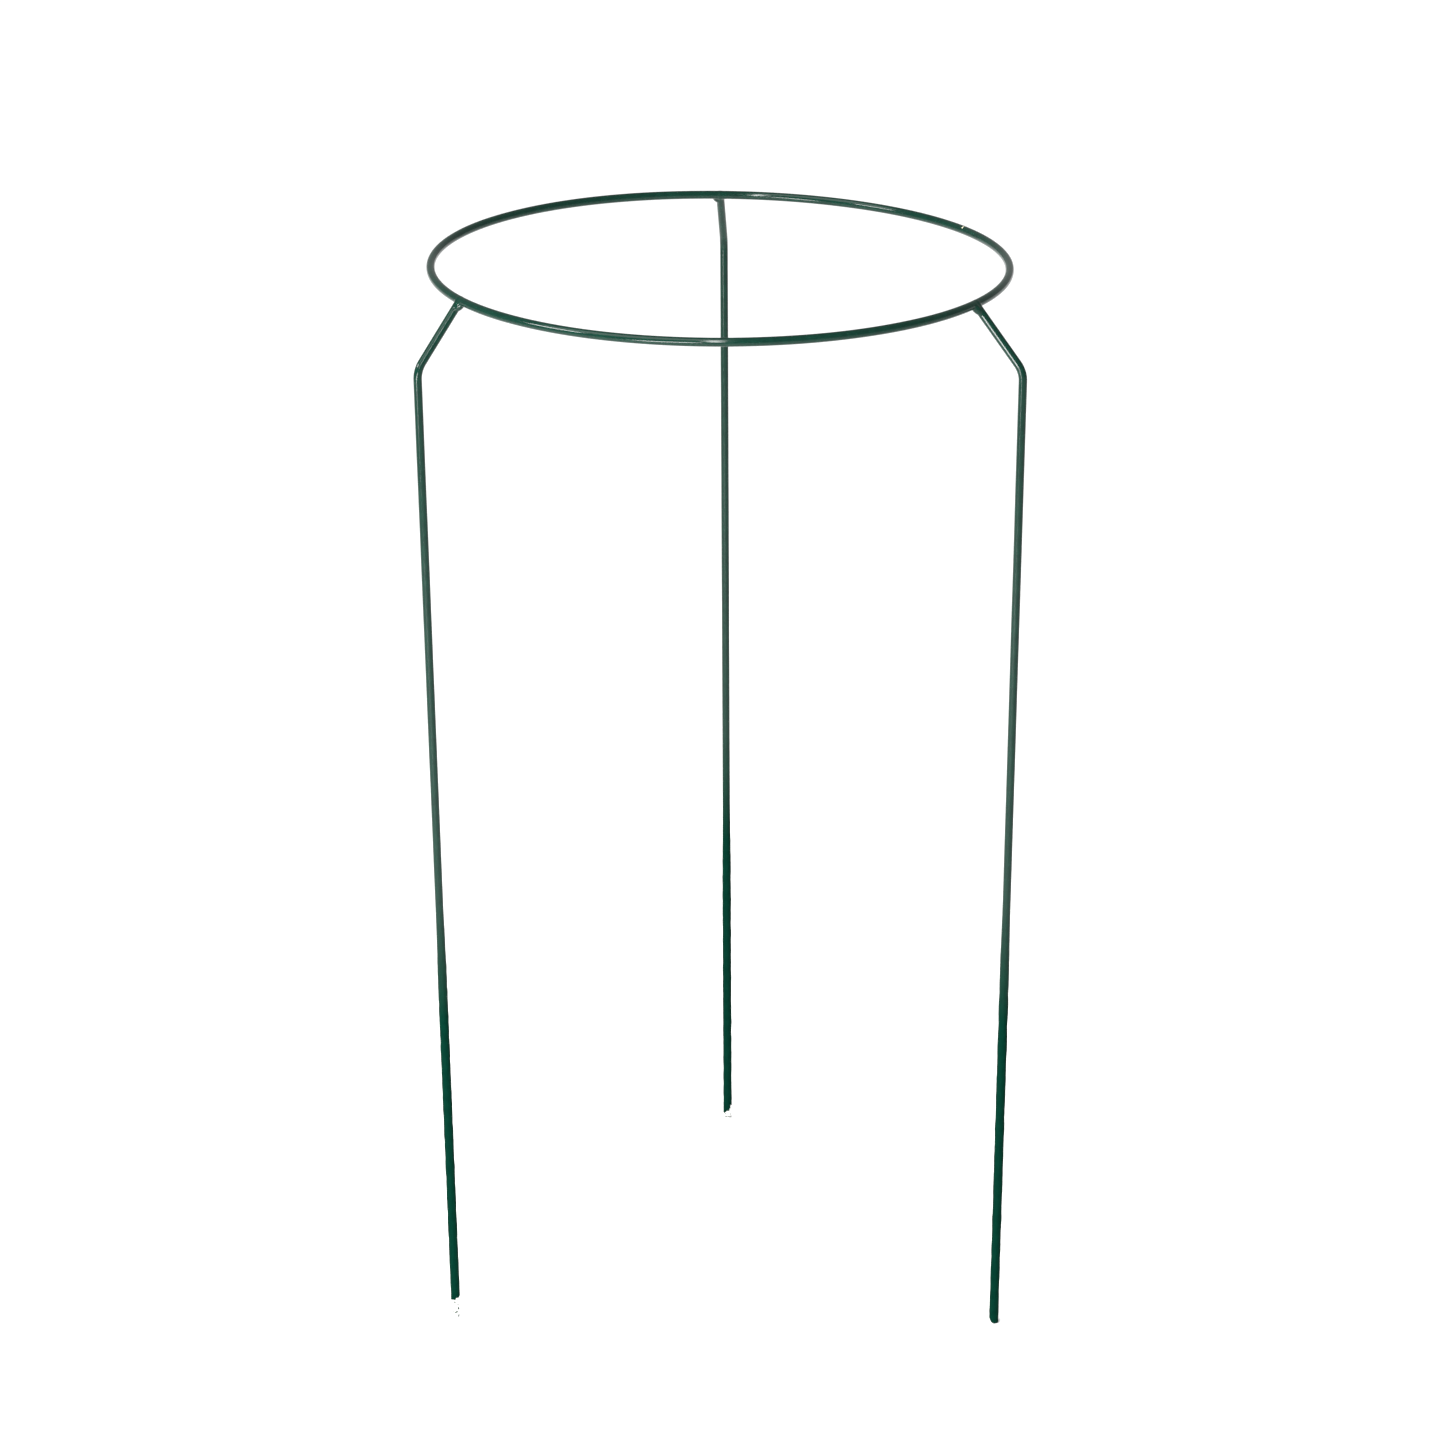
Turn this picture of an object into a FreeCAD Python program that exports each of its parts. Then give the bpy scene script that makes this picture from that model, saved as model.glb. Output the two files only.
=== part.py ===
import FreeCAD, Part
import math
import os
import Sketcher
from FreeCAD import Placement, Rotation, Vector

# Round plant support: one ring of plastic-coated steel wire, welded to three cranked stake legs of
# the same wire. Frame: +Z up, origin on the ring's axis at the level of the feet, back leg at +Y.
# Everything is in millimetres and degrees.

# ---------------------------------------------------------------- driving dimensions
DIMENSIONS = [
    ("overall_height", 750.0, "feet to the top of the ring"),
    ("ring_outer_dia", 400.0, "over the coating"),
    ("ring_wire_radius", 2.55, "bare steel of the ring"),
    ("ring_coat_radius", 2.95, "outside of the coating on the ring"),
    ("wire_radius", 2.5, "bare steel of the legs"),
    ("coat_radius", 2.88, "outside of the coating on the upper legs"),
    ("dip_radius", 3.35, "outside of the heavier coating on the lower legs"),
    ("dip_taper", 60.0, "length over which the coating thickens"),
    ("bend_reach", 231.0, "axis to the corner where crank and stake centrelines meet"),
    ("bend_drop", 42.65, "ring centreline down to that corner"),
    ("bend_radius", 18.0, "wire centreline at the bend"),
    ("foot_reach", 222.3, "axis to the stake centreline at the ground"),
    ("sink_gap", 0.9, "end of the leg wire to the ring's centreline, where it is welded in"),
    ("overrun", 6.0, "stake length drawn past the ground before the tip is cut"),
    ("tip_angle", 48.0, "slope of the sheared tip from the horizontal"),
    ("tip_land", 1.6, "width of steel left flat at the point of the tip"),
    ("cap_shift", 0.9, "coating over the sheared face of a coated tip, measured on the ground"),
    ("butt_azimuth", 32.5, "where the ring's two ends meet"),
    ("butt_angle", 0.58, "weld between the ring's ends, as an angle of the ring"),
    ("nick_length", 2.2, "chip in the coating over that weld, along the wire"),
    ("nick_floor", 0.5, "lowest level of the chip above the ring's centreline"),
    ("nick_inset", 2.3, "how far the chip reaches inward past the ring's centreline"),
    ("bead_side_shift", 2.7, "weld bead's centre, beside the leg's centreline"),
    ("bead_down_shift", 3.5, "weld bead's centre, down the leg from the ring's centreline"),
    ("bead_lean", 30.0, "slant of the bead's long axis from the leg"),
    ("bead_half_depth", 2.4, "bead's half thickness across the two wires"),
    ("coat_over_bead", 0.35, "coating on the bead"),
]

# Each leg: azimuth of its joint, how far the leg is turned there from pointing straight outward, side
# of the leg that its weld bead is on (counter-clockwise round the ring is +1), bead half length and
# half width, top of the heavier coating, length of bare steel at the tip. The legs are welded on by
# hand: they are about 120 degrees apart and each is a little turned.
LEG_CELLS = ("azimuth", "turn", "bead_side", "bead_half_length", "bead_half_width", "dip_height", "bare_tip")
LEGS = {
    "back": (92.0, -5.2, 1, 4.6, 2.3, 262.0, 8.0),
    "left": (208.8, 5.3, 1, 4.8, 2.5, 318.0, 15.0),
    "right": (328.2, 10.4, -1, 5.4, 2.5, 328.0, 0.0),
}

doc = FreeCAD.newDocument("plant_support")
sheet = doc.addObject("Spreadsheet::Sheet", "dims")
size = {}


def add_cell(alias, value, note):
    row = len(size) + 1
    sheet.set(f"A{row}", alias)
    sheet.set(f"B{row}", str(value))
    sheet.set(f"C{row}", note)
    sheet.setAlias(f"B{row}", alias)
    size[alias] = value


for alias, value, note in DIMENSIONS:
    add_cell(alias, value, note)
for leg, values in LEGS.items():
    for cell, value in zip(LEG_CELLS, values):
        add_cell(f"{cell}_{leg}", value, f"{leg} leg")
doc.recompute()

# ---------------------------------------------------------------- places worked out from them
RING_Z = size["overall_height"] - size["ring_coat_radius"]
RING_R = size["ring_outer_dia"] / 2 - size["ring_coat_radius"]
RING_Z_TEXT = "(dims.overall_height - dims.ring_coat_radius)"
RING_R_TEXT = "(dims.ring_outer_dia / 2 - dims.ring_coat_radius)"

# In a leg's own plane, x outward and z up: the ring's centreline, the corner and the foot
JOINT = Vector(RING_R, 0, RING_Z)
CORNER = Vector(size["bend_reach"], 0, RING_Z - size["bend_drop"])
FOOT = Vector(size["foot_reach"], 0, 0)
CRANK_WAY = (CORNER - JOINT).normalize()
STAKE_WAY = (FOOT - CORNER).normalize()
TANGENT = size["bend_radius"] * math.tan(CRANK_WAY.getAngle(STAKE_WAY) / 2)
TIP_EDGE = size["foot_reach"] + size["wire_radius"] - size["tip_land"]
REACH = 30.0  # size of the cutting tools, which only have to go right through a wire


def plane_of(body, role):
    return next(f for f in body.Origin.OriginFeatures if f.Role == role)


def new_body(label, azimuth=0.0):
    body = doc.addObject("PartDesign::Body", label)
    body.Label = label
    body.Placement = Placement(Vector(), Rotation(Vector(0, 0, 1), azimuth))
    return body


def leg_turn(leg):
    """The leg's turn about the upright line through its joint."""
    return Placement(Vector(), Rotation(Vector(0, 0, 1), size[f"turn_{leg}"]), JOINT)


def leg_frame(leg):
    """Takes the leg's own plane to its place on the ring."""
    return Placement(Vector(), Rotation(Vector(0, 0, 1), size[f"azimuth_{leg}"])) * leg_turn(leg)


def new_leg_body(label, leg):
    body = new_body(label)
    body.Placement = leg_frame(leg)
    return body


def new_sketch(body, name):
    """A sketch in the body's vertical plane: sketch x is outward, sketch y is up."""
    sketch = body.newObject("Sketcher::SketchObject", name)
    sketch.AttachmentSupport = [(plane_of(body, "XZ_Plane"), "")]
    sketch.MapMode = "FlatFace"
    return sketch


def primitive(body, kind, name, sizes, placement):
    """A PartDesign primitive with its sizes bound to the sheet."""
    feature = body.newObject(f"PartDesign::{kind}", name)
    for prop, text in sizes.items():
        feature.setExpression(prop, text)
    feature.Placement = placement
    doc.recompute()
    return feature


def bind(sketch, kind, where, text):
    """A driving constraint whose value comes from the sheet."""
    index = sketch.addConstraint(Sketcher.Constraint(kind, *where))
    sketch.setExpression(f"Constraints[{index}]", text)


def bind_point(sketch, geometry, point, x_text, z_text):
    place = sketch.getPoint(geometry, point)
    bind(sketch, "DistanceX", (-1, 1, geometry, point, place.x), x_text)
    bind(sketch, "DistanceY", (-1, 1, geometry, point, place.y), z_text)


# ---------------------------------------------------------------- the ring
def ring_section(body, name, radius_cells):
    """Circles about the ring's centreline, in the half plane x > 0."""
    sketch = new_sketch(body, name)
    for cell in radius_cells:
        circle = Part.Circle(Vector(RING_R, RING_Z, 0), Vector(0, 0, 1), size[cell])
        index = sketch.addGeometry(circle)
        bind_point(sketch, index, 3, RING_R_TEXT, RING_Z_TEXT)
        bind(sketch, "Radius", (index, size[cell]), f"dims.{cell}")
    doc.recompute()
    return sketch


def ring_turn(body, section, angle_text):
    turn = body.newObject("PartDesign::Revolution", f"{section.Name}_turn")
    turn.Profile = section
    turn.ReferenceAxis = (section, ["V_Axis"])
    turn.setExpression("Angle", angle_text)
    doc.recompute()
    return turn


# ---------------------------------------------------------------- the legs
def leg_path(body, name):
    """Centreline of a leg: crank, bend and stake, from the weld to past the ground."""
    sketch = new_sketch(body, name)
    places = [
        JOINT + CRANK_WAY * size["sink_gap"],
        CORNER - CRANK_WAY * TANGENT,
        CORNER + STAKE_WAY * TANGENT,
        FOOT + STAKE_WAY * size["overrun"],
    ]
    top, bend_start, bend_end, end = [Vector(p.x, p.z, 0) for p in places]
    centre = bend_start + Vector(CRANK_WAY.z, -CRANK_WAY.x, 0) * size["bend_radius"]
    first, last = [math.atan2(p.y - centre.y, p.x - centre.x) for p in (bend_end, bend_start)]
    circle = Part.Circle(centre, Vector(0, 0, 1), size["bend_radius"])
    crank = sketch.addGeometry(Part.LineSegment(top, bend_start))
    bend = sketch.addGeometry(Part.ArcOfCircle(circle, first, last))
    stake = sketch.addGeometry(Part.LineSegment(bend_end, end))
    sketch.addConstraint(Sketcher.Constraint("Tangent", crank, 2, bend, 2))
    sketch.addConstraint(Sketcher.Constraint("Tangent", bend, 1, stake, 1))
    marks = [sketch.addGeometry(Part.Point(Vector(p.x, p.z, 0)), True) for p in (JOINT, CORNER, FOOT)]
    joint, corner, foot = marks
    for mark, line in ((joint, crank), (corner, crank), (corner, stake), (foot, stake), (foot, -1)):
        sketch.addConstraint(Sketcher.Constraint("PointOnObject", mark, 1, line))
    bind_point(sketch, joint, 1, RING_R_TEXT, RING_Z_TEXT)
    bind_point(sketch, corner, 1, "dims.bend_reach", f"{RING_Z_TEXT} - dims.bend_drop")
    bind(sketch, "DistanceX", (-1, 1, foot, 1, size["foot_reach"]), "dims.foot_reach")
    bind(sketch, "Radius", (bend, size["bend_radius"]), "dims.bend_radius")
    bind(sketch, "Distance", (joint, 1, crank, 1, size["sink_gap"]), "dims.sink_gap")
    bind(sketch, "Distance", (foot, 1, stake, 2, size["overrun"]), "dims.overrun")
    doc.recompute()
    return sketch


def leg_pipe(body, radius_cell):
    """A round section swept along the whole centreline of a leg."""
    path = leg_path(body, f"{body.Label}_centreline")
    section = body.newObject("Sketcher::SketchObject", f"{body.Label}_section")
    section.AttachmentSupport = [(path, "Edge1")]
    section.MapMode = "NormalToEdge"
    circle = section.addGeometry(Part.Circle(Vector(), Vector(0, 0, 1), size[radius_cell]))
    section.addConstraint(Sketcher.Constraint("Coincident", circle, 3, -1, 1))
    bind(section, "Radius", (circle, size[radius_cell]), f"dims.{radius_cell}")
    doc.recompute()
    pipe = body.newObject("PartDesign::AdditivePipe", f"{body.Label}_pipe")
    pipe.Profile = section
    pipe.Spine = (path, ["Edge1", "Edge2", "Edge3"])
    doc.recompute()
    return pipe


def sheared_box(edge):
    """Box whose top is the sheared face, which meets the ground at edge and rises inward."""
    slope = math.radians(size["tip_angle"])
    up_face = Vector(-math.cos(slope), 0, math.sin(slope))
    into = Vector(-math.sin(slope), 0, -math.cos(slope))
    corner = Vector(edge, -REACH / 2, 0) - up_face * (REACH / 4)
    return Placement(corner, Rotation(up_face, Vector(0, 1, 0), into, "ZXY"))


def trim(body, name, placement):
    box = body.newObject("PartDesign::SubtractiveBox", f"{body.Label}_{name}")
    box.Length = box.Width = box.Height = REACH
    box.Placement = placement
    doc.recompute()


def trim_level(body, level):
    trim(body, "level_cut", Placement(Vector(FOOT.x - REACH / 2, -REACH / 2, level - REACH), Rotation()))


def trim_point(body, edge):
    trim_level(body, 0.0)
    trim(body, "sheared_cut", sheared_box(edge))


def bead(body, kind, leg, extra_cell=None):
    """Ellipsoid in the corner between the ring's underside and one side of the leg."""
    side = Vector(0, size[f"bead_side_{leg}"], 0)
    lean = math.radians(size["bead_lean"])
    long_way = CRANK_WAY * math.cos(lean) - side * math.sin(lean)
    across = Vector(CRANK_WAY.z, 0, -CRANK_WAY.x)
    centre = JOINT + side * size["bead_side_shift"] + CRANK_WAY * size["bead_down_shift"]
    turned = Rotation(across.cross(long_way), across, long_way, "ZXY")
    extra = f" + dims.{extra_cell}" if extra_cell else ""
    radii = {
        "Radius1": f"dims.bead_half_length_{leg}{extra}",
        "Radius2": f"dims.bead_half_width_{leg}{extra}",
        "Radius3": f"dims.bead_half_depth{extra}",
    }
    placement = Placement(centre, turned)
    if body.Label == "ring_coating":
        placement = leg_frame(leg) * placement
    return primitive(body, kind, f"{body.Label}_{leg}_bead_{extra_cell or 'metal'}", radii, placement)


def crank_cut(body, leg, radius_cell):
    """Takes the round of the crank's wire out of a body beside it."""
    start = JOINT + CRANK_WAY * size["sink_gap"]
    placement = Placement(start, Rotation(Vector(0, 0, 1), CRANK_WAY))
    if body.Label == "ring_coating":
        placement = leg_frame(leg) * placement
    sizes = {"Radius": f"dims.{radius_cell}"}
    cut = primitive(body, "SubtractiveCylinder", f"{body.Label}_{leg}_crank", sizes, placement)
    cut.Height = REACH
    doc.recompute()


def ring_cut(body, leg, radius_cell):
    """Takes the round of the ring out of one of a leg's bodies."""
    sizes = {"Radius1": RING_R_TEXT, "Radius2": f"dims.{radius_cell}"}
    name = f"{body.Label}_ring_{radius_cell}"
    # the torus starts on the far side of the ring, so that its seam stays clear of the joint
    far_side = Placement(Vector(0, 0, RING_Z), Rotation(Vector(0, 0, 1), 180))
    ring_place = leg_turn(leg).inverse() * far_side
    primitive(body, "SubtractiveTorus", name, sizes, ring_place)


# ---------------------------------------------------------------- the pieces
def make_ring_wire():
    body = new_body("ring_wire", size["butt_azimuth"] + size["butt_angle"] / 2)
    ring_turn(body, ring_section(body, "ring_wire_section", ["ring_wire_radius"]), "360 - dims.butt_angle")
    return body


def make_ring_butt_weld():
    body = new_body("ring_butt_weld", size["butt_azimuth"] - size["butt_angle"] / 2)
    ring_turn(body, ring_section(body, "butt_weld_section", ["ring_wire_radius"]), "dims.butt_angle")
    return body


def make_ring_coating():
    body = new_body("ring_coating")
    ring_turn(body, ring_section(body, "coating_section", ["ring_coat_radius", "ring_wire_radius"]), "360")
    for leg in LEGS:
        crank_cut(body, leg, "wire_radius")
        bead(body, "SubtractiveEllipsoid", leg)
    turned = Rotation(Vector(0, 0, 1), size["butt_azimuth"])
    inset = Vector(RING_R - size["nick_inset"], -size["nick_length"] / 2, RING_Z + size["nick_floor"])
    nick = primitive(
        body,
        "SubtractiveBox",
        "nick",
        {"Width": "dims.nick_length"},
        Placement(turned.multVec(inset), turned),
    )
    nick.Length = nick.Height = REACH
    doc.recompute()
    return body


def make_leg_wire(leg):
    body = new_leg_body(f"leg_wire_{leg}", leg)
    leg_pipe(body, "wire_radius")
    ring_cut(body, leg, "ring_wire_radius")
    trim_point(body, TIP_EDGE)
    return body


def make_leg_weld(leg):
    body = new_leg_body(f"leg_weld_{leg}", leg)
    bead(body, "AdditiveEllipsoid", leg)
    ring_cut(body, leg, "ring_wire_radius")
    crank_cut(body, leg, "wire_radius")
    return body


def make_joint_coating(leg):
    body = new_leg_body(f"joint_coating_{leg}", leg)
    bead(body, "AdditiveEllipsoid", leg, "coat_over_bead")
    bead(body, "SubtractiveEllipsoid", leg)
    ring_cut(body, leg, "ring_coat_radius")
    crank_cut(body, leg, "coat_radius")
    return body


def make_leg_coating(leg, wire):
    """The coating's whole outline first, with the heavier dip on the stake, then less the wire."""
    body = new_leg_body(f"coating_outline_{leg}", leg)
    leg_pipe(body, "coat_radius")
    upward = Rotation(Vector(0, 0, 1), STAKE_WAY * -1)
    low_end = FOOT + STAKE_WAY * size["overrun"]
    straight = size["overrun"] + size[f"dip_height_{leg}"] - size["dip_taper"]
    sizes = {
        "Radius": "dims.dip_radius",
        "Height": f"dims.overrun + dims.dip_height_{leg} - dims.dip_taper",
    }
    primitive(body, "AdditiveCylinder", f"dip_{leg}", sizes, Placement(low_end, upward))
    sizes = {"Radius1": "dims.dip_radius", "Radius2": "dims.coat_radius", "Height": "dims.dip_taper"}
    taper_end = low_end - STAKE_WAY * straight
    primitive(body, "AdditiveCone", f"dip_taper_{leg}", sizes, Placement(taper_end, upward))
    ring_cut(body, leg, "ring_coat_radius")
    bead(body, "SubtractiveEllipsoid", leg)
    if size[f"bare_tip_{leg}"]:
        trim_level(body, size[f"bare_tip_{leg}"])
    else:
        trim_point(body, TIP_EDGE - size["cap_shift"])
    coating = doc.addObject("Part::Cut", f"leg_coating_{leg}")
    coating.Label = f"leg_coating_{leg}"
    coating.Base, coating.Tool = body, wire
    doc.recompute()
    return coating


pieces = [make_ring_wire(), make_ring_butt_weld(), make_ring_coating()]
for leg in LEGS:
    wire = make_leg_wire(leg)
    pieces += [wire, make_leg_weld(leg), make_joint_coating(leg), make_leg_coating(leg, wire)]

# ---------------------------------------------------------------- checks and files
doc.recompute()
for thing in doc.Objects:
    if {"Invalid", "Error"} & set(thing.State):
        raise SystemExit(f"{thing.Name} failed: {thing.State}")
os.makedirs("parts", exist_ok=True)
for piece in pieces:
    shape = piece.Shape
    if shape.isNull() or not shape.isValid() or len(shape.Solids) != 1:
        raise SystemExit(f"{piece.Label} is not one valid solid")
for piece in pieces:
    piece.Shape.exportStep(f"parts/{piece.Label}.step")
    print(f"{piece.Label}: {piece.Shape.Volume:.1f} mm3")
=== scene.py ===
import math

import bpy
import numpy as np
from mathutils import Matrix, Vector


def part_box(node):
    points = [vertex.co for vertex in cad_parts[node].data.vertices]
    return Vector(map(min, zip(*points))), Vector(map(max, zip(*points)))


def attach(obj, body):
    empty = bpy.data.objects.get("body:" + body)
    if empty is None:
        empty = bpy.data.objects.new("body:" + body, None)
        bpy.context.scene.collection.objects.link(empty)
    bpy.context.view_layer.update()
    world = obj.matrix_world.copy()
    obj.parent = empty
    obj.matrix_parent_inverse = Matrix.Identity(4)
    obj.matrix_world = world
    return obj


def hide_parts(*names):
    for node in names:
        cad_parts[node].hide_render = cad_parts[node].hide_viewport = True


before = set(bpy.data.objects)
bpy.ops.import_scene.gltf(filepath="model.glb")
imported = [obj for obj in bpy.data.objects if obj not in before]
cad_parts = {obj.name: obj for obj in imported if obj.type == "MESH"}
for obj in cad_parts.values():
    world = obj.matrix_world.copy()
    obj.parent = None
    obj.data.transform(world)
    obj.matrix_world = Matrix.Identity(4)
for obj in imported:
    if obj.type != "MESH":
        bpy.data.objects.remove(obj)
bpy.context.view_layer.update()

# Looks of the round plant support. Shapes are worked out in millimetres, in the row frame: +Z up,
# origin on the ring's axis at the level of the feet. They become metres when a mesh is made.
MM = 0.001
rng = np.random.default_rng(7)

# ---------------------------------------------------------------- sizes, as in the CAD
ring_low, ring_high = (np.array(corner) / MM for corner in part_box("ring_coating"))
RING_COAT = (ring_high[2] - ring_low[2]) / 2
RING_R = (ring_high[0] - ring_low[0]) / 2 - RING_COAT
RING_Z = (ring_high[2] + ring_low[2]) / 2
RING_STEEL = 2.55
LEG_COAT = 2.88
HEAVY_COAT = 3.35
CORNER = np.array([231.0, RING_Z - 42.65])
FOOT = np.array([222.3, 0.0])
JOINT = np.array([RING_R, RING_Z])
TURN_CENTRE = np.array([RING_R, 0.0, 0.0])
BEND_RADIUS = 18.0
HEAVY_TAPER = 60.0
BUTT_AZIMUTH = 32.5
TIP_SLOPE = math.tan(math.radians(48))

# Weld beads: how far to the side of the leg and down it they sit, how they lean, half their depth,
# and the thickness of the coating over them.
BEAD_SIDE_SHIFT = 2.7
BEAD_DOWN_SHIFT = 3.5
BEAD_LEAN = math.radians(30)
BEAD_HALF_DEPTH = 2.4
BEAD_COAT = 0.35

# Azimuth of the joint, turn of the leg about the upright line through its joint, side of the weld
# bead, bead half length and half width, top of the heavier coating, mean height of the bare tip.
LEGS = {
    "back": (92.0, -5.2, 1, 4.6, 2.3, 262.0, 8.0),
    "left": (208.8, 5.3, 1, 4.8, 2.5, 318.0, 15.0),
    "right": (328.2, 10.4, -1, 5.4, 2.5, 328.0, 0.0),
}


def unit(v):
    return v / np.linalg.norm(v, axis=-1, keepdims=True)


CRANK_WAY = unit(CORNER - JOINT)
STAKE_WAY = unit(FOOT - CORNER)


def smoothstep(x, low, high):
    """0 below low, 1 above high, and a smooth rise between."""
    t = np.clip((x - low) / (high - low), 0, 1)
    return t * t * (3 - 2 * t)


def turned(points, azimuth):
    """Points turned about the Z axis by an angle in degrees."""
    a = math.radians(azimuth)
    c, s = math.cos(a), math.sin(a)
    x, y, z = np.moveaxis(np.asarray(points, float), -1, 0)
    return np.stack([x * c - y * s, x * s + y * c, z], -1)


def leg_to_row(points, leg):
    """From the leg's own frame, where it lies in the XZ plane, to the row frame."""
    azimuth, turn = LEGS[leg][:2]
    return turned(turned(points - TURN_CENTRE, turn) + TURN_CENTRE, azimuth)


def row_to_leg(points, leg):
    azimuth, turn = LEGS[leg][:2]
    return turned(turned(points, -azimuth) - TURN_CENTRE, -turn) + TURN_CENTRE


# ---------------------------------------------------------------- meshes
def make_mesh(name, vertices, faces, material):
    mesh = bpy.data.meshes.new(name)
    mesh.from_pydata((np.asarray(vertices) * MM).tolist(), [], [list(f) for f in faces])
    mesh.update()
    mesh.polygons.foreach_set("use_smooth", [True] * len(mesh.polygons))
    mesh.materials.append(material)
    piece = bpy.data.objects.new(name, mesh)
    bpy.context.scene.collection.objects.link(piece)
    return piece


def grid_faces(rows, columns, looped):
    """Quads between successive rings of a swept tube."""
    last = rows if looped else rows - 1
    i = np.arange(last)[:, None]
    j = np.arange(columns)[None]
    a = i * columns + j
    b = i * columns + (j + 1) % columns
    c = ((i + 1) % rows) * columns + (j + 1) % columns
    d = ((i + 1) % rows) * columns + j
    return np.stack(np.broadcast_arrays(a, b, c, d), -1).reshape(-1, 4).tolist()


def swept(name, rings, material, looped=False):
    """rings is (stations, around, 3). An open tube is closed with a fan at each end."""
    rows, columns = rings.shape[:2]
    vertices = rings.reshape(-1, 3)
    faces = grid_faces(rows, columns, looped)
    if not looped:
        ends = [rings[0].mean(0), rings[-1].mean(0)]
        top, bottom = rows * columns, rows * columns + 1
        vertices = np.vstack([vertices, ends])
        base = (rows - 1) * columns
        for j in range(columns):
            k = (j + 1) % columns
            faces.append([k, j, top])
            faces.append([base + j, base + k, bottom])
    piece = make_mesh(name, vertices, faces, material)
    outward(piece)
    return piece


def outward(piece):
    """Turns the faces outward if the closed mesh was made inside out."""
    mesh = piece.data
    mesh.calc_loop_triangles()
    co = np.empty(len(mesh.vertices) * 3)
    mesh.vertices.foreach_get("co", co)
    co = co.reshape(-1, 3)
    tri = np.empty(len(mesh.loop_triangles) * 3, np.int32)
    mesh.loop_triangles.foreach_get("vertices", tri)
    a, b, c = (co[tri.reshape(-1, 3)[:, k]] for k in range(3))
    if np.einsum("ij,ij->i", a, np.cross(b, c)).sum() < 0:
        mesh.flip_normals()


# ---------------------------------------------------------------- the ring, a little out of true
# Each row is one wave round the ring: how many times it repeats, and its cosine and sine parts.
RING_LIFT = [(1, -1.95, -0.05), (2, 0.04, -1.92), (3, 0.04, 0.12)]
RING_SWELL = [(2, -0.33, 0.1), (3, -2.74, 0.0)]


def wander(azimuth, parts):
    return sum(c * np.cos(n * azimuth) + s * np.sin(n * azimuth) for n, c, s in parts)


def ring_line(azimuth):
    """The ring's centreline at an azimuth in radians. Hand-welded wire is never quite flat or
    round: it lifts and swells by up to 3.5 mm, and is held close to true at the three joints."""
    a = np.asarray(azimuth, float)
    r = RING_R + wander(a, RING_SWELL)
    return np.stack([r * np.cos(a), r * np.sin(a), RING_Z + wander(a, RING_LIFT)], -1)


def ring_frame(azimuth):
    """Centre, direction, and the outward and upward directions of the ring's section."""
    step = 1e-4
    centre = ring_line(azimuth)
    along = unit(ring_line(azimuth + step) - ring_line(azimuth - step))
    flat = np.stack([np.cos(azimuth), np.sin(azimuth), 0 * azimuth], -1)
    out = unit(flat - (flat * along).sum(-1, keepdims=True) * along)
    return centre, along, out, np.cross(out, along)


def angles_round(around):
    """Angles round a wire's section, as one row."""
    return np.linspace(0, 2 * math.pi, around, endpoint=False)[None]


def ring_tube(azimuths, radius):
    """A tube's surface along the ring: radius is (stations, around)."""
    centre, _, out, up = ring_frame(azimuths)
    phi = angles_round(radius.shape[1])[..., None]
    spoke = np.cos(phi) * out[:, None] + np.sin(phi) * up[:, None]
    return centre[:, None] + radius[:, :, None] * spoke


def waves(s, phi, count, shortest, longest, height):
    """Gentle unevenness over a tube: a sum of sines along it and round it."""
    total = np.zeros(np.broadcast(s, phi).shape)
    for _ in range(count):
        length = rng.uniform(shortest, longest)
        turns = rng.integers(0, 3)
        phase = rng.uniform(0, 2 * math.pi)
        total = total + np.sin(2 * math.pi * s / length + turns * phi + phase)
    return total * height / math.sqrt(count)


def make_ring_coat(material):
    """The ring's coating, with finer stations round the chip over the butt weld."""
    middle = math.radians(BUTT_AZIMUTH)
    whole = np.radians(np.arange(0, 360, 0.5))
    near = middle + np.arange(-4, 4.01, 0.08) / RING_R
    kept = whole[(whole < near[0] - 0.002) | (whole > near[-1] + 0.002)]
    azimuths = np.sort(np.concatenate([kept, near]))
    phi = angles_round(96)
    along = (azimuths[:, None] - middle) * RING_R
    radius = RING_COAT + waves(along, phi, 8, 40, 200, 0.02)
    # the chip: a ragged little window from the outer side over the top to the inner side
    half_length, floor_depth, lip = 1.05, 0.5, 0.05
    ragged = 0.18 * np.sin(5 * phi + 1.0) + 0.12 * np.sin(11 * phi)
    across = np.abs(along + 0.15 * np.sin(3 * phi)) - (half_length + ragged)
    side = np.abs(phi - math.radians(80)) - math.radians(62)
    gap = np.maximum(across, side * RING_COAT + 0.15 * np.sin(7 * along))
    radius = radius - floor_depth * smoothstep(-gap, 0.0, 0.22)
    radius = radius + lip * np.exp(-(((gap - 0.15) / 0.2) ** 2))
    return swept("ring_coat", ring_tube(azimuths, radius), material, looped=True)


def make_ring_core(material, weld_material):
    """The steel inside the coating, and the butt weld that the chip uncovers."""
    gap = math.radians(0.5)
    middle = math.radians(BUTT_AZIMUTH)
    azimuths = np.linspace(middle + gap, middle - gap + 2 * math.pi, 720)
    radius = np.full((len(azimuths), 32), RING_STEEL)
    core = swept("ring_core", ring_tube(azimuths, radius), material)
    azimuths = middle + np.linspace(-1.2, 1.2, 49) * gap
    phi = angles_round(64)
    along = (azimuths - middle)[:, None] * RING_R
    swell = 0.1 * np.exp(-((along / 0.9) ** 2)) + waves(along, phi, 6, 0.6, 1.6, 0.02)
    radius = RING_STEEL - 0.02 + swell * smoothstep(2.0 - np.abs(along), 0.0, 0.5)
    weld = swept("ring_weld", ring_tube(azimuths, radius), weld_material)
    return core, weld


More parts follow.
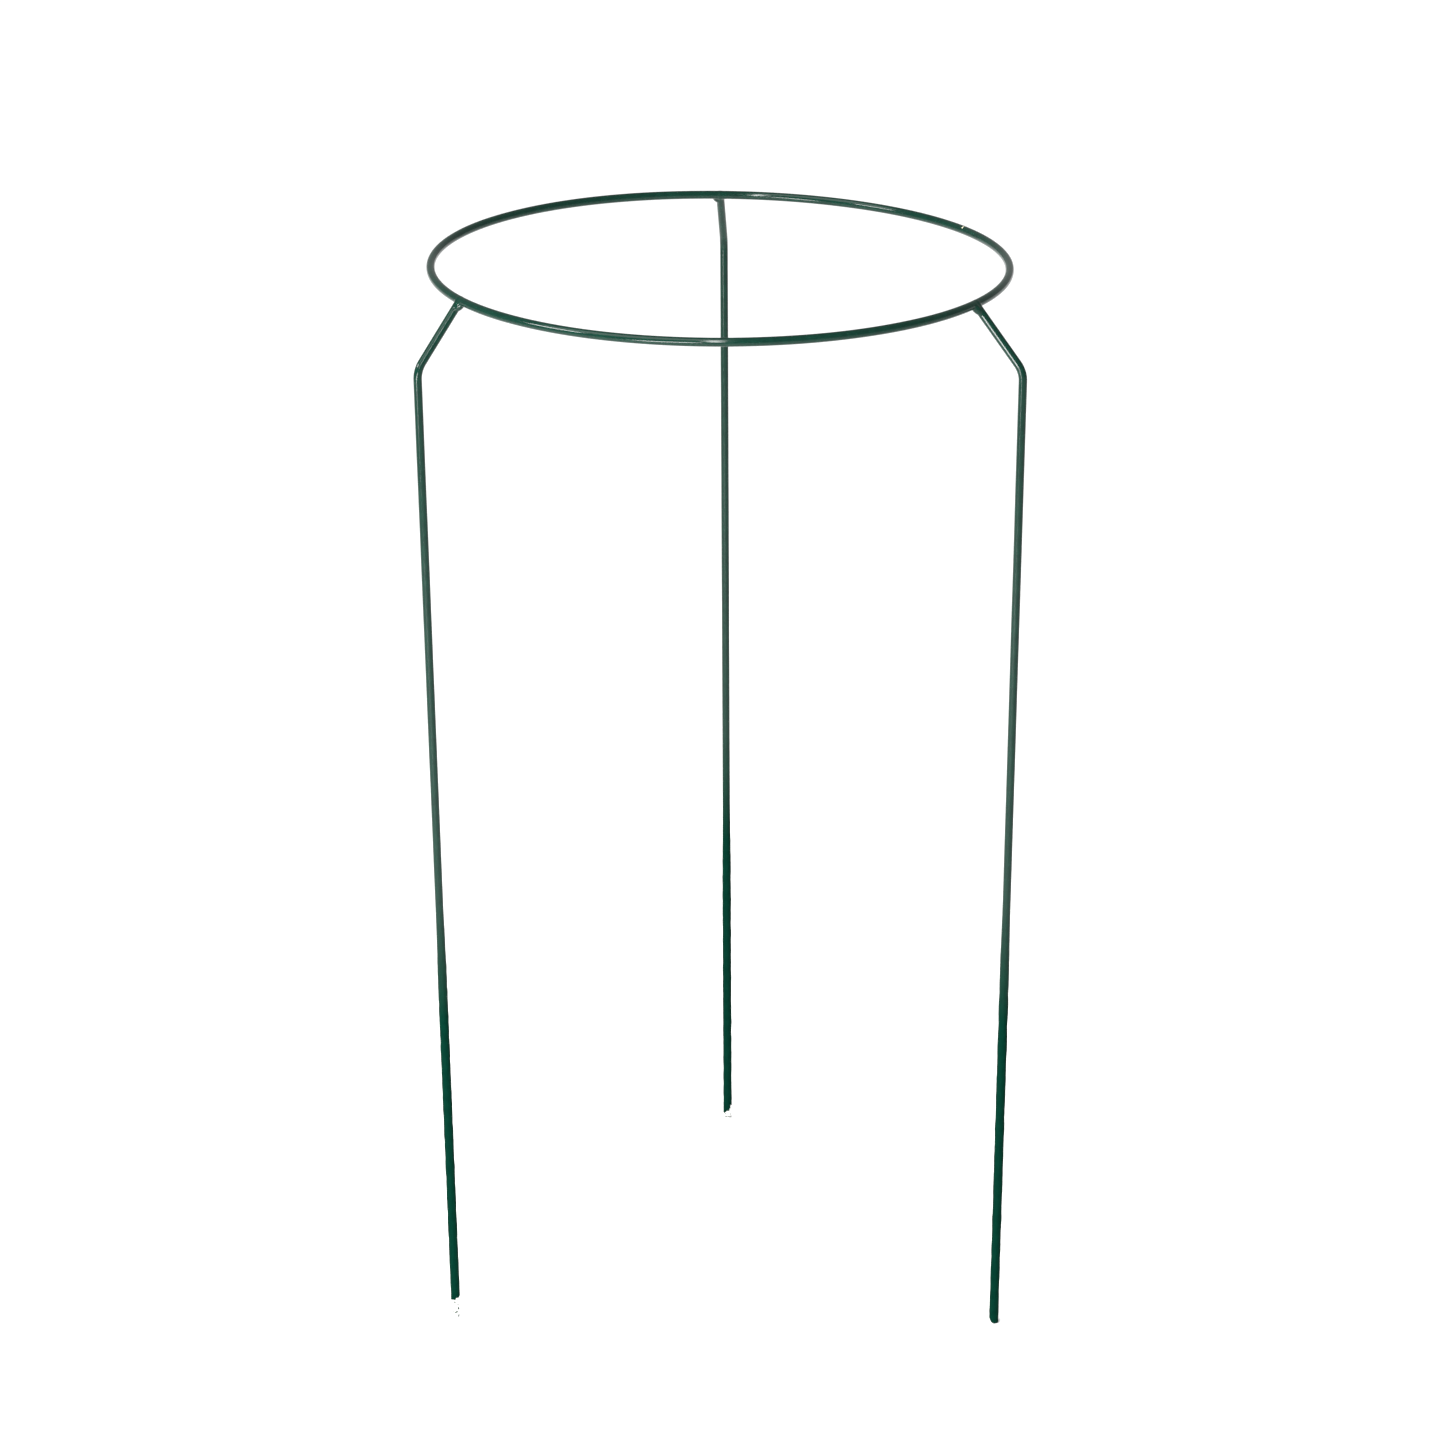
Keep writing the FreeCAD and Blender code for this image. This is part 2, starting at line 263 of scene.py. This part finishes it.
# ---------------------------------------------------------------- the legs' coatings
def leg_line(s):
    """Centreline of a leg in its own plane, with its direction there and the leg's whole length.
    s is millimetres along it from the ring's centreline."""
    turn = math.acos(float(CRANK_WAY @ STAKE_WAY))
    tangent = BEND_RADIUS * math.tan(turn / 2)
    crank_end = np.linalg.norm(CORNER - JOINT) - tangent
    arc_end = crank_end + BEND_RADIUS * turn
    s = np.asarray(s, float)
    begin = JOINT + CRANK_WAY * crank_end
    finish = CORNER + STAKE_WAY * tangent
    # the arc's centre is on the inward side of both runs
    inward = np.array([CRANK_WAY[1], -CRANK_WAY[0]])
    if (finish - begin) @ inward < 0:
        inward = -inward
    centre = begin + inward * BEND_RADIUS
    angle = np.clip((s - crank_end) / BEND_RADIUS, 0, turn)[..., None]
    on_arc = centre + BEND_RADIUS * (CRANK_WAY * np.sin(angle) - inward * np.cos(angle))
    arc_way = CRANK_WAY * np.cos(angle) + inward * np.sin(angle)
    first, last = (s < crank_end)[..., None], (s > arc_end)[..., None]
    point = np.where(first, JOINT + CRANK_WAY * s[..., None], on_arc)
    point = np.where(last, finish + STAKE_WAY * (s - arc_end)[..., None], point)
    way = np.where(first, CRANK_WAY, np.where(last, STAKE_WAY, arc_way))
    return point, way, arc_end + np.linalg.norm(FOOT - finish)


LEG_LENGTH = float(leg_line(0.0)[2])


def leg_place(s, phi, radius, leg):
    """Points on the leg's surface. phi is 0 outward, and 90 degrees on the side that lies
    counter-clockwise round the ring."""
    point, way, _ = leg_line(s)
    out = np.stack([-way[..., 1], way[..., 0]], -1)
    x = point[..., 0] + radius * np.cos(phi) * out[..., 0]
    z = point[..., 1] + radius * np.cos(phi) * out[..., 1]
    return leg_to_row(np.stack([x, radius * np.sin(phi), z], -1), leg)


def sheared(radius, phi):
    """Height of the right leg's slanting cut, softened where it meets the flat at its foot."""
    softness = 2.2
    slant = (-0.25 - radius * np.cos(phi)) * TIP_SLOPE
    return np.log1p(np.exp(softness * slant)) / softness


def coat_end(leg, phi):
    """Height at which the coating ends, by the angle round the wire."""
    if leg == "left":
        rag = 0.45 * np.sin(5 * phi + 0.6) + 0.3 * np.sin(9 * phi + 2.0) + 0.15 * np.sin(17 * phi)
        return 15.6 - 1.3 * np.cos(phi + 0.2) + rag
    if leg == "back":
        rag = 0.3 * np.sin(6 * phi + 1.1) + 0.2 * np.sin(13 * phi)
        notch = 3.2 * np.exp(-(((phi - math.radians(238)) / 0.28) ** 2))
        drip = 1.6 * np.exp(-(((phi - 3.6) / 0.22) ** 2))
        return 7.6 - 3.2 * np.sin(phi) + notch - drip + rag
    return sheared(HEAVY_COAT, phi)


def make_leg_coat(leg, material):
    """A leg's coating: stations closest in the bend and near the tip, where the end is ragged."""
    heavy_top, bare = LEGS[leg][5:]
    around = 72
    phi = angles_round(around)
    low = LEG_LENGTH - 24
    edge = 0.7
    runs = [np.arange(0.6, 40, 0.8), np.arange(40, 80, 0.5), np.arange(80, low, 1.5)]
    end = LEG_LENGTH - coat_end(leg, phi)
    s_low = low + (end - edge - low) * np.linspace(0, 1, 110)[:, None]
    s = np.vstack([np.repeat(np.concatenate(runs)[:, None], around, 1), s_low])
    height = LEG_LENGTH - s
    lean = 7.0 * np.cos(phi - (2.4 if leg == "left" else 4.2))
    heavy = smoothstep(heavy_top + lean - height, 0, HEAVY_TAPER)
    radius = LEG_COAT + (HEAVY_COAT - LEG_COAT) * heavy
    radius = radius + waves(s, phi, 7, 30, 150, 0.02)
    radius = radius + heavy * (waves(s, phi, 9, 9, 34, 0.085) + waves(s, phi, 7, 3.5, 8, 0.025))
    # the last of the coating rounds over and closes
    if bare:
        steps = [(0.0, 0.02), (0.25, 0.1), (0.45, 0.25), (0.6, 0.5), (0.7, 0.8), (0.72, 1.05)]
    else:
        quarter = np.linspace(0.1, math.pi / 2, 9)
        steps = [(edge * math.sin(t), edge * (1 - math.cos(t))) for t in quarter]
    rings_s, rings_r = [s], [radius]
    for down, shrink in steps:
        rings_s.append(s[-1:] + down)
        rings_r.append(radius[-1:] - shrink)
    if not bare:
        for share in (0.7, 0.4, 0.12):
            inner = radius[-1:] * share
            rings_s.append(LEG_LENGTH - sheared(inner, phi))
            rings_r.append(inner)
    s = np.vstack(rings_s)
    radius = np.vstack(rings_r)
    rings = leg_place(s, np.broadcast_to(phi, s.shape), radius, leg)
    rings[..., 2] = np.maximum(rings[..., 2], 0.0)
    return swept(f"leg_coat_{leg}", rings, material)


# ---------------------------------------------------------------- the coated joints
def blend_union(a, b, reach):
    """Union of two distance fields with a fillet."""
    h = np.clip(0.5 + 0.5 * (b - a) / reach, 0, 1)
    return b + (a - b) * h - reach * h * (1 - h)


def joint_field(leg):
    """Distance to the coated joint, in the leg's own frame, and the joint's centre."""
    azimuth, _, side, half_long, half_wide = LEGS[leg][:5]
    a = math.radians(azimuth) + np.arange(-22, 22.01, 0.5) / RING_R
    centre, along, _, _ = ring_frame(a)
    along = row_to_leg(centre + along, leg) - row_to_leg(centre, leg)
    centre = row_to_leg(centre, leg)
    crank = np.array([CRANK_WAY[0], 0, CRANK_WAY[1]])
    joint = np.array([JOINT[0], 0, JOINT[1]])
    sideways = np.array([0.0, side, 0.0])
    long_way = crank * math.cos(BEAD_LEAN) - sideways * math.sin(BEAD_LEAN)
    deep_way = np.array([crank[2], 0, -crank[0]])
    wide_way = np.cross(deep_way, long_way)
    bead_at = joint + sideways * BEAD_SIDE_SHIFT + crank * BEAD_DOWN_SHIFT
    axes = np.stack([long_way, wide_way, deep_way])
    half = np.array([half_long, half_wide, BEAD_HALF_DEPTH]) + BEAD_COAT
    # each lump: its direction, phase and pitch
    lumps = [(rng.normal(size=3), rng.uniform(0, 6.28), rng.uniform(1.2, 3.2)) for _ in range(14)]

    def field(p):
        nearest = np.full(len(p), 1e9)
        for c, t in zip(centre, along):
            d = p - c
            dt = np.abs(d @ t)
            off = np.sqrt(np.maximum((d * d).sum(1) - dt * dt, 0))
            nearest = np.minimum(nearest, off + 50 * np.maximum(dt - 0.3, 0))
        ring = nearest - RING_COAT
        d = p - joint
        t = np.clip(d @ crank, 0.5, 18)
        leg_d = np.linalg.norm(d - t[:, None] * crank, axis=1) - LEG_COAT
        q = (p - bead_at) @ axes.T
        k = np.linalg.norm(q / half, axis=1) + 1e-9
        bead = k * (k - 1) / (np.linalg.norm(q / half**2, axis=1) + 1e-9)
        bump = np.zeros(len(p))
        for way, phase, pitch in lumps:
            bump += np.sin(2 * math.pi * (p @ unit(way)) / pitch + phase)
        near_bead = np.exp(-np.maximum(bead, 0) / 0.5)
        both = blend_union(ring, leg_d, 1.1)
        whole = blend_union(both, bead, 0.9) - 0.02 * bump * near_bead / 2
        # further off, the skin sinks into the ring's and the leg's coatings, and ends inside them
        away = np.linalg.norm(d, axis=1)
        whole = whole + 0.06 * smoothstep(away, 8.5, 12.0)
        return np.maximum(whole, away - 13.2)

    return field, joint


def net(field, low, high, cell):
    """Closed mesh of the field's zero surface, with one vertex in each cell that it crosses."""
    axes = [np.arange(a, b + cell, cell) for a, b in zip(low, high)]
    grid = np.stack(np.meshgrid(*axes, indexing="ij"), -1)
    shape = grid.shape[:3]
    value = field(grid.reshape(-1, 3)).reshape(shape)
    cells = tuple(n - 1 for n in shape)
    total, count = np.zeros((*cells, 3)), np.zeros(cells)
    crossings = []
    for axis in range(3):
        front = [slice(None)] * 3
        rear = [slice(None)] * 3
        front[axis], rear[axis] = slice(0, -1), slice(1, None)
        a, b = value[tuple(front)], value[tuple(rear)]
        crosses = (a < 0) != (b < 0)
        t = np.where(crosses, a / np.where(crosses, a - b, 1), 0)
        at = grid[tuple(front)].copy()
        at[..., axis] += t * cell
        others = [k for k in range(3) if k != axis]
        for i in (0, 1):
            for j in (0, 1):
                part = [slice(None)] * 3
                part[others[0]] = slice(i, i + cells[others[0]])
                part[others[1]] = slice(j, j + cells[others[1]])
                total += np.where(crosses[tuple(part)][..., None], at[tuple(part)], 0)
                count += crosses[tuple(part)]
        crossings.append((axis, others, crosses, a < 0))
    used = count > 0
    index = np.full(cells, -1)
    index[used] = np.arange(used.sum())
    vertices = total[used] / count[used][:, None]
    faces = []
    for axis, others, crosses, inside in crossings:
        i = np.argwhere(crosses)
        ok = np.all((i[:, others] > 0) & (i[:, others] < np.array(cells)[others]), axis=1)
        i = i[ok]
        u, v = np.eye(3, dtype=int)[others[0]], np.eye(3, dtype=int)[others[1]]
        quad = np.stack([index[tuple((i - du).T)] for du in (u + v, v, 0 * u, u)], -1)
        flip = inside[tuple(i.T)] == (axis != 1)
        quad[~flip] = quad[~flip][:, ::-1]
        faces.append(quad)
    return vertices, np.vstack(faces)


def settle(field, p, rounds=3):
    """Moves vertices onto the field's surface."""
    step = 0.01
    for _ in range(rounds):
        value = field(p)
        slope = [(field(p + e) - field(p - e)) / (2 * step) for e in step * np.eye(3)]
        slope = np.stack(slope, -1)
        p = p - (value / np.maximum((slope * slope).sum(1), 0.2))[:, None] * slope
    return p


def make_joint(leg, material):
    field, joint = joint_field(leg)
    reach = np.array([10.0, 13.6, 13.6])
    vertices, faces = net(field, joint - reach, joint + reach * [1, 1, 0.4], 0.3)
    vertices = settle(field, vertices)
    piece = make_mesh(f"joint_coat_{leg}", leg_to_row(vertices, leg), faces.tolist(), material)
    outward(piece)
    return piece


# ---------------------------------------------------------------- materials
class Graph:
    """Short names for building a material's nodes."""

    def __init__(self, name):
        self.material = bpy.data.materials.new(name)
        self.material.use_nodes = True
        self.tree = self.material.node_tree
        self.tree.nodes.clear()
        self.output = self.add("ShaderNodeOutputMaterial")

    def add(self, kind, **settings):
        node = self.tree.nodes.new(kind)
        for name, value in settings.items():
            setattr(node, name, value)
        return node

    def join(self, source, target):
        self.tree.links.new(source, target)

    def place(self):
        return self.add("ShaderNodeTexCoord").outputs["Object"]

    def noise(self, scale, detail=3.0, roughness=0.5, stretch=None):
        node = self.add("ShaderNodeTexNoise")
        node.inputs["Scale"].default_value = scale
        node.inputs["Detail"].default_value = detail
        node.inputs["Roughness"].default_value = roughness
        where = self.place()
        if stretch:
            mapping = self.add("ShaderNodeMapping")
            mapping.inputs["Scale"].default_value = stretch
            self.join(where, mapping.inputs["Vector"])
            where = mapping.outputs["Vector"]
        self.join(where, node.inputs["Vector"])
        return node.outputs["Fac"]

    def ramp(self, source, stops):
        node = self.add("ShaderNodeValToRGB")
        elements = node.color_ramp.elements
        while len(elements) < len(stops):
            elements.new(0.5)
        for element, (at, colour) in zip(elements, stops):
            element.position = at
            element.color = (*colour, 1)
        self.join(source, node.inputs["Fac"])
        return node.outputs["Color"]

    def spread(self, source, low, high, to_low, to_high):
        node = self.add("ShaderNodeMapRange")
        limits = {"From Min": low, "From Max": high, "To Min": to_low, "To Max": to_high}
        for name, value in limits.items():
            node.inputs[name].default_value = value
        self.join(source, node.inputs["Value"])
        return node.outputs["Result"]

    def mix(self, share, a, b):
        node = self.add("ShaderNodeMix", data_type="RGBA")
        self.join(share, node.inputs["Factor"])
        self.join(a, node.inputs["A"])
        self.join(b, node.inputs["B"])
        return node.outputs["Result"]

    def bump(self, source, strength, distance, after=None):
        node = self.add("ShaderNodeBump")
        node.inputs["Strength"].default_value = strength
        node.inputs["Distance"].default_value = distance
        self.join(source, node.inputs["Height"])
        if after is not None:
            self.join(after, node.inputs["Normal"])
        return node.outputs["Normal"]

    def plain(self, colour):
        node = self.add("ShaderNodeRGB")
        node.outputs[0].default_value = (*colour, 1)
        return node.outputs[0]

    def shader(self, colour, roughness, normal, specular=0.5, metallic=0.0):
        node = self.add("ShaderNodeBsdfPrincipled")
        self.join(colour, node.inputs["Base Color"])
        self.join(roughness, node.inputs["Roughness"])
        self.join(normal, node.inputs["Normal"])
        node.inputs["Specular IOR Level"].default_value = specular
        node.inputs["Metallic"].default_value = metallic
        return node.outputs[0]

    def finish(self, shader):
        self.join(shader, self.output.inputs["Surface"])
        return self.material


def srgb(r, g, b):
    """A colour given as 0 to 255 on a screen, as linear light."""
    c = np.array([r, g, b]) / 255
    return tuple(np.where(c <= 0.04045, c / 12.92, ((c + 0.055) / 1.055) ** 2.4).tolist())


COAT_DARK = srgb(2, 32, 24)
COAT_LIGHT = srgb(5, 40, 30)
MASK = ((0, 0, 0), (1, 1, 1))


def green_coat(name):
    """Dark green dipped plastic, faintly mottled, with a soft orange-peel surface and some specks.
    Returns the material's graph and its shader."""
    g = Graph(name)
    colour = g.ramp(g.noise(160, 4, 0.6), [(0.3, COAT_DARK), (0.7, COAT_LIGHT)])
    specks = g.ramp(g.noise(2600, 2, 0.5), [(0.70, MASK[0]), (0.76, MASK[1])])
    colour = g.mix(g.spread(specks, 0, 1, 0, 0.35), colour, g.plain(srgb(70, 120, 100)))
    rough = g.spread(g.noise(420, 3, 0.6), 0.3, 0.7, 0.08, 0.17)
    peel = g.bump(g.noise(200, 2, 0.5), 0.05, 0.0002)
    fine = g.bump(g.noise(3000, 2, 0.5), 0.02, 0.00002, peel)
    return g, g.shader(colour, rough, fine, specular=0.2)


def ring_material():
    g, gloss = green_coat("coat_ring")
    return g.finish(gloss)


def leg_material():
    """The legs' coating: glossy above, and lower down, where the heavier coating is, a deeper and
    duller green that is painted shade.
    """
    g, upper = green_coat("coat_legs")
    # painted shade: a darker copy of the coat, with almost no reflection, for the lower legs
    colour = g.ramp(g.noise(240, 4, 0.6), [(0.3, srgb(0, 32, 23)), (0.7, srgb(1, 39, 28))])
    rough = g.spread(g.noise(420, 3, 0.6), 0.3, 0.7, 0.42, 0.52)
    lumps = g.bump(g.noise(420, 2, 0.5), 0.25, 0.0003)
    lower_painted_shade = g.shader(colour, rough, lumps, specular=0.01)
    height = g.add("ShaderNodeSeparateXYZ")
    g.join(g.place(), height.inputs["Vector"])
    # the painted shade is full below 0.235 m and gone above 0.325 m
    share = g.spread(height.outputs["Z"], 0.235, 0.325, 1.0, 0.0)
    mixed = g.add("ShaderNodeMixShader")
    g.join(share, mixed.inputs["Fac"])
    g.join(upper, mixed.inputs[1])
    g.join(lower_painted_shade, mixed.inputs[2])
    return g.finish(mixed.outputs[0])


def steel_material():
    """Bare drawn steel at the cut tips: bright, with fine drawing lines and dark green spots that
    are painted reflections of dark surroundings.
    """
    g = Graph("bare_steel")
    lines = g.noise(2400, 3, 0.6, stretch=(1, 1, 0.08))
    colour = g.ramp(lines, [(0.25, srgb(196, 198, 196)), (0.75, srgb(238, 238, 234))])
    # painted reflection: dark green spots stand in for dark surroundings mirrored in the bare
    # steel
    painted_reflection_spots = g.ramp(g.noise(520, 3, 0.55), [(0.53, MASK[0]), (0.57, MASK[1])])
    colour = g.mix(painted_reflection_spots, colour, g.plain(srgb(30, 52, 42)))
    rough = g.spread(g.noise(900, 3, 0.6), 0.3, 0.7, 0.28, 0.5)
    normal = g.bump(lines, 0.3, 0.00005)
    return g.finish(g.shader(colour, rough, normal, metallic=0.85))


def weld_material():
    """Pale, dull weld metal under the chipped coating."""
    g = Graph("weld_metal")
    stops = [(0.3, srgb(205, 196, 160)), (0.7, srgb(240, 234, 208))]
    colour = g.ramp(g.noise(1500, 4, 0.6), stops)
    rough = g.spread(g.noise(2000, 3, 0.6), 0.3, 0.7, 0.5, 0.7)
    normal = g.bump(g.noise(2500, 3, 0.6), 0.4, 0.0001)
    return g.finish(g.shader(colour, rough, normal, metallic=0.1))


def floor_material():
    g = Graph("floor_white")
    tint = g.ramp(g.noise(2.0, 2, 0.5), [(0.3, (0.93, 0.93, 0.93)), (0.7, (0.95, 0.95, 0.95))])
    rough = g.spread(g.noise(3.0, 2, 0.5), 0.3, 0.7, 0.85, 0.95)
    normal = g.bump(g.noise(40, 2, 0.5), 0.02, 0.0005)
    return g.finish(g.shader(tint, rough, normal, specular=0.0))


ring_paint = ring_material()
leg_paint = leg_material()
steel = steel_material()
weld_metal = weld_material()

# ---------------------------------------------------------------- the pieces
coat = make_ring_coat(ring_paint)
core, weld = make_ring_core(steel, weld_metal)
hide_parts("ring_coating")
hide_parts("ring_wire")
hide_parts("ring_butt_weld")
pieces = [(coat, "green_coat"), (core, "steel_wire"), (weld, "weld_metal")]
# The order of these calls sets the order of the random draws.
for leg in LEGS:
    sleeve = make_leg_coat(leg, leg_paint)
    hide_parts(f"leg_coating_{leg}")
    joint = make_joint(leg, ring_paint)
    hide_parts(f"joint_coating_{leg}")
    pieces += [(sleeve, "green_coat"), (joint, "green_coat")]
for piece, slot in pieces:
    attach(piece, "root")
for name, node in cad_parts.items():
    if name.startswith("leg_wire") or name.startswith("leg_weld"):
        node.data.materials.clear()
        node.data.materials.append(steel if name.startswith("leg_wire") else weld_metal)

# ---------------------------------------------------------------- floor, light and camera
scene = bpy.context.scene
scene.view_settings.view_transform = "Standard"

FLOOR_HALF = 12.0
FLOOR_DROP = 0.0002
floor_mesh = bpy.data.meshes.new("floor")
corners = [(x * FLOOR_HALF, y * FLOOR_HALF, 0) for x, y in ((-1, -1), (1, -1), (1, 1), (-1, 1))]
floor_mesh.from_pydata(corners, [], [(0, 1, 2, 3)])
floor_mesh.materials.append(floor_material())
floor = bpy.data.objects.new("floor", floor_mesh)
scene.collection.objects.link(floor)
floor.location = (0, 0, -FLOOR_DROP)

world = bpy.data.worlds.new("studio")
world.use_nodes = True
background = world.node_tree.nodes["Background"].inputs
background["Color"].default_value = (1, 1, 1, 1)
background["Strength"].default_value = 0.45
scene.world = world


def softbox(name, place, aim, long_way, length, width, power):
    """A soft lamp at place that looks at aim, with its long side along long_way."""
    light = bpy.data.lights.new(name, "AREA")
    light.shape = "RECTANGLE"
    light.size, light.size_y = length, width
    light.energy = power
    lamp = bpy.data.objects.new(name, light)
    scene.collection.objects.link(lamp)
    back = (Vector(place) - Vector(aim)).normalized()
    side = Vector(long_way) - back * back.dot(Vector(long_way))
    side.normalize()
    axes = Matrix((side, back.cross(side), back)).transposed()
    lamp.matrix_world = Matrix.Translation(place) @ axes.to_4x4()
    lamp.visible_camera = False


# Long, narrow lamps, placed so that the front cranks and the back of the ring carry a streak.
softbox(
    "front_strip", place=(-0.77, -1.77, 0.50), aim=(0.19, -0.1, 0.72),
    long_way=(-0.67, 0.47, -0.63), length=0.95, width=0.30, power=42,
)
softbox(
    "ring_light", place=(-0.22, -1.62, 1.75), aim=(0.0, 0.1, 0.73),
    long_way=(0.0, 0.81, 1.47), length=1.7, width=0.14, power=36,
)
softbox(
    "left_panel", place=(-1.78, -0.74, 1.56), aim=(0, 0, 0.70),
    long_way=(-0.41, 0.91, -0.08), length=0.7, width=0.28, power=38,
)

# A very wide, soft sun lights the floor evenly.
sun = bpy.data.lights.new("soft_sun", "SUN")
sun.energy = 2.35
sun.angle = math.radians(50)
sun_lamp = bpy.data.objects.new("soft_sun", sun)
scene.collection.objects.link(sun_lamp)
sun_lamp.rotation_euler = Vector((0.5, 0.28, -1.0)).to_track_quat("-Z", "Y").to_euler()

camera_data = bpy.data.cameras.new("camera")
camera = bpy.data.objects.new("camera", camera_data)
scene.collection.objects.link(camera)
camera_data.sensor_width = 36.0
camera_data.sensor_fit = "HORIZONTAL"
camera_data.lens = 111.552
camera_data.clip_start, camera_data.clip_end = 0.1, 60.0
camera.location = (0.0633, -2.9626, 1.5199)
pitch, roll, yaw = math.radians(20.4635), math.radians(-0.3153), math.radians(1.2787)
camera.matrix_world = (
    Matrix.Translation(camera.location)
    @ Matrix.Rotation(yaw, 4, "Z")
    @ Matrix.Rotation(math.pi / 2 - pitch, 4, "X")
    @ Matrix.Rotation(roll, 4, "Z")
)
scene.camera = camera
